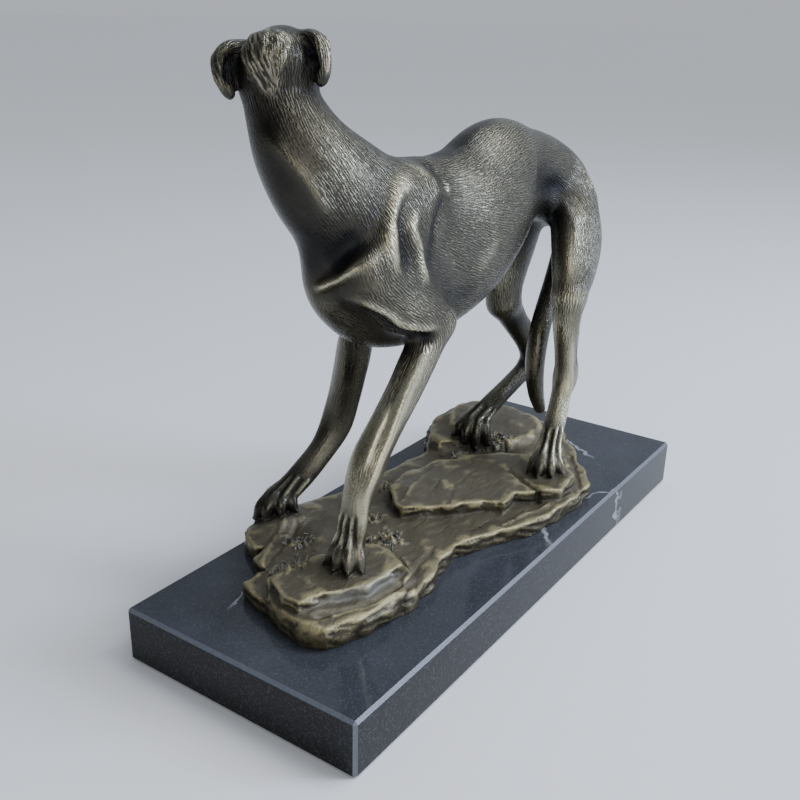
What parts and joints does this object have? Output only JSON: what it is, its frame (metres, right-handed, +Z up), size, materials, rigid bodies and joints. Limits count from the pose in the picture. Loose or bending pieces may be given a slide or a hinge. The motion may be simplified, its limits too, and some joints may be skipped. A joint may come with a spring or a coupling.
{
  "type": "greyhound statue",
  "caption": "A dark bronze greyhound stands on a rocky bronze ground and looks back over its shoulder, on a polished black marble base.",
  "frame": {"origin": "centre of the marble base's underside, where it rests", "axes": "+Z up; +X along the marble base, from the hound's breast to its tail; +Y to the hound's right side"},
  "size_m": [0.36, 0.142, 0.2988],
  "materials": {
    "bronze": "dark brown bronze patina, rubbed to brass on ridges and edges",
    "black_marble": null
  },
  "bodies": {
    "root": {"bronze_greyhound": "bronze", "marble_base": "black_marble"}
  },
  "joints": []
}
